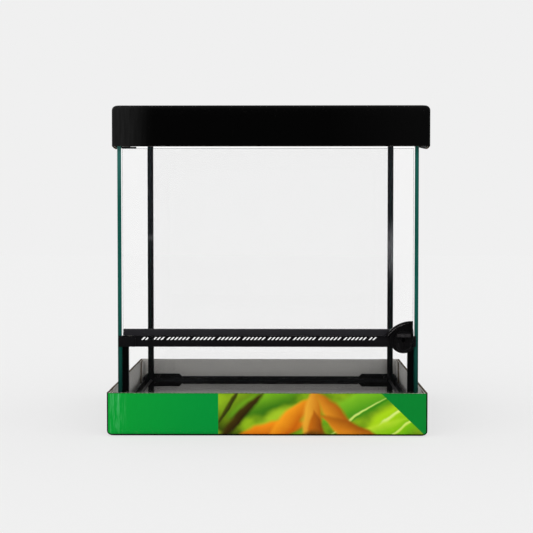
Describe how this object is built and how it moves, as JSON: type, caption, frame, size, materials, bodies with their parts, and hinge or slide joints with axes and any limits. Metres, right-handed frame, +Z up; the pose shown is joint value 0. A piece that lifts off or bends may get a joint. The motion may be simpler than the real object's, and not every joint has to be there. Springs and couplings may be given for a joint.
{
  "type": "reptile terrarium",
  "caption": "Small front-opening glass terrarium with black frame, slotted vent strip and latched door, in a printed card tray and cap.",
  "frame": {"origin": "centre of the card tray's underside, where the object stands", "axes": "+Z up, +X to the right of someone facing the door, -Y towards that person"},
  "size_m": [0.3211, 0.3194, 0.3284],
  "materials": {
    "printed_card": "satin",
    "black_card": "satin",
    "clear_glass": "polished",
    "black_silicone": "satin",
    "frame_plastic": "matte",
    "door_plastic": "satin",
    "latch_plastic": "glossy",
    "nylon": "satin",
    "steel": "brushed",
    "lid_wire": "matte"
  },
  "bodies": {
    "tray": {"card_tray": "printed_card"},
    "tank": {"floor_glass": "clear_glass", "left_glass": "clear_glass", "right_glass": "clear_glass", "rear_glass": "clear_glass", "front_window": "clear_glass", "rear_seal_left": "black_silicone", "rear_seal_right": "black_silicone", "floor_seal": "black_silicone", "front_post_left": "black_silicone", "front_post_right": "black_silicone", "base_rail_front": "frame_plastic", "base_rail_right": "frame_plastic", "base_rail_rear": "frame_plastic", "base_rail_left": "frame_plastic", "base_corner_front_left": "frame_plastic", "base_corner_front_right": "frame_plastic", "base_corner_rear_right": "frame_plastic", "base_corner_rear_left": "frame_plastic", "top_fascia": "frame_plastic", "top_rail_right": "frame_plastic", "top_rail_rear": "frame_plastic", "top_rail_left": "frame_plastic", "top_corner_front_left": "frame_plastic", "top_corner_front_right": "frame_plastic", "top_corner_rear_right": "frame_plastic", "top_corner_rear_left": "frame_plastic", "cable_band": "frame_plastic", "clip_rivets": "steel", "vent_strip": "door_plastic", "hinge_bracket": "door_plastic", "keeper_bracket": "door_plastic", "hinge_washer": "nylon"},
    "cap": {"card_cap": "black_card"},
    "door": {"door_glass": "clear_glass", "door_rail": "door_plastic", "door_shoe": "door_plastic", "hinge_pin_lower": "steel", "hinge_pin_upper": "steel", "door_handle": "latch_plastic"},
    "lock": {"lock_knob": "latch_plastic", "lock_cam": "steel", "lock_screw": "steel"},
    "lid": {"lid_frame": "frame_plastic", "lid_mesh": "lid_wire"},
    "lid_clip_left": {"lid_clip_left": "frame_plastic"},
    "lid_clip_right": {"lid_clip_right": "frame_plastic"},
    "shutter_left": {"cable_shutter_left": "frame_plastic"},
    "shutter_right": {"cable_shutter_right": "frame_plastic"}
  },
  "joints": [
    {"name": "tank_lift", "type": "slide", "parent": "tray", "child": "tank", "axis": [0, 0, 1], "range_m": [0, 0.06]},
    {"name": "cap_lift", "type": "slide", "parent": "tank", "child": "cap", "axis": [0, 0, 1], "range_m": [0, 0.06]},
    {"name": "lid_lift", "type": "slide", "parent": "tank", "child": "lid", "axis": [0, 0, 1], "range_m": [0, 0.03]},
    {"name": "door_hinge", "type": "hinge", "parent": "tank", "child": "door", "pos_m": [-0.138, -0.148, 0.0996], "axis": [0, 0, -1], "range_deg": [0, 110]},
    {"name": "lock_turn", "type": "hinge", "parent": "door", "child": "lock", "pos_m": [0.1349, -0.155, 0.0957], "axis": [0, 1, 0], "range_deg": [0, 90]},
    {"name": "clip_turn_left", "type": "hinge", "parent": "tank", "child": "lid_clip_left", "pos_m": [-0.118, 0.1226, 0.3246], "axis": [0, 0, 1], "range_deg": [0, 90]},
    {"name": "clip_turn_right", "type": "hinge", "parent": "tank", "child": "lid_clip_right", "pos_m": [0.118, 0.1226, 0.3246], "axis": [0, 0, -1], "range_deg": [0, 90]},
    {"name": "shutter_slide_left", "type": "slide", "parent": "tank", "child": "shutter_left", "axis": [-1, 0, 0], "range_m": [0, 0.034]},
    {"name": "shutter_slide_right", "type": "slide", "parent": "tank", "child": "shutter_right", "axis": [1, 0, 0], "range_m": [0, 0.034]}
  ],
  "couplings": [
    {"joint": "lid_lift", "follows": "cap_lift", "ratio": 0.5}
  ]
}
